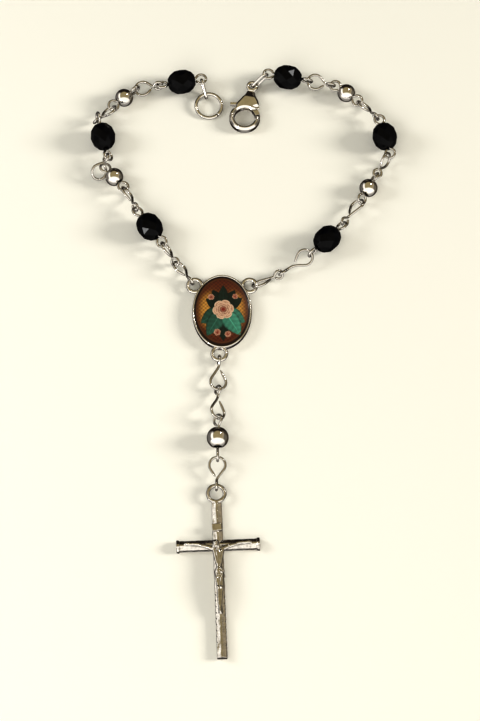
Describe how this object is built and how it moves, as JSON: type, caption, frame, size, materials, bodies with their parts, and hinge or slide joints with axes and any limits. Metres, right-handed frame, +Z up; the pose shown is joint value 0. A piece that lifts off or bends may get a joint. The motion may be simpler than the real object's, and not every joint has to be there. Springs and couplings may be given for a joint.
{
  "type": "rosary bracelet",
  "caption": "Rosary bracelet of faceted black and round silver beads on wire links, with an oval picture medal, a lobster clasp, a jump ring and a short drop with a crucifix.",
  "frame": {"origin": "centre of the flat back of the medal, on the surface that the bracelet lies on", "axes": "+Z up from the surface, +Y from the medal towards the clasp, +X to the right seen from the drop"},
  "size_m": [0.0746, 0.1512, 0.0061],
  "materials": {
    "silver_metal": "polished silver wire",
    "bead_silver": "mirror polished silver",
    "cast_silver": "cast silver, polished on the high spots and darker in the hollows",
    "black_glass": "opaque jet-black faceted glass, glossy",
    "enamel_picture": "printed enamel under a clear glossy dome"
  },
  "bodies": {
    "bracelet": {"medal_frame": "cast_silver", "medal_picture": "enamel_picture", "black_bead_1": "black_glass", "black_bead_2": "black_glass", "black_bead_3": "black_glass", "black_bead_4": "black_glass", "black_bead_5": "black_glass", "black_bead_6": "black_glass", "silver_bead_1": "bead_silver", "silver_bead_2": "bead_silver", "silver_bead_3": "bead_silver", "silver_bead_4": "bead_silver", "silver_bead_5": "bead_silver", "bead_pin_1": "silver_metal", "bead_pin_2": "silver_metal", "bead_pin_3": "silver_metal", "bead_pin_4": "silver_metal", "bead_pin_5": "silver_metal", "bead_pin_6": "silver_metal", "bead_pin_7": "silver_metal", "bead_pin_8": "silver_metal", "bead_pin_9": "silver_metal", "bead_pin_10": "silver_metal", "bead_pin_11": "silver_metal", "link_1": "silver_metal", "link_2": "silver_metal", "link_3": "silver_metal", "link_4": "silver_metal", "link_5": "silver_metal", "link_6": "silver_metal", "link_7": "silver_metal", "link_8": "silver_metal", "link_9": "silver_metal", "link_10": "silver_metal", "link_11": "silver_metal", "link_12": "silver_metal", "link_13": "silver_metal", "link_14": "silver_metal", "link_15": "silver_metal", "ring_link": "silver_metal", "jump_ring": "silver_metal", "clasp_link": "silver_metal", "clasp_body": "silver_metal", "crucifix": "cast_silver"},
    "lever": {"clasp_lever": "silver_metal"}
  },
  "joints": [
    {"name": "lever_turn", "type": "hinge", "parent": "bracelet", "child": "lever", "pos_m": [0.00774, 0.0563, 0.0012], "axis": [0, 0, 1], "range_deg": [-25, 0], "stiffness_Nm_per_rad": 0.0005, "springref_deg": 5.73}
  ]
}
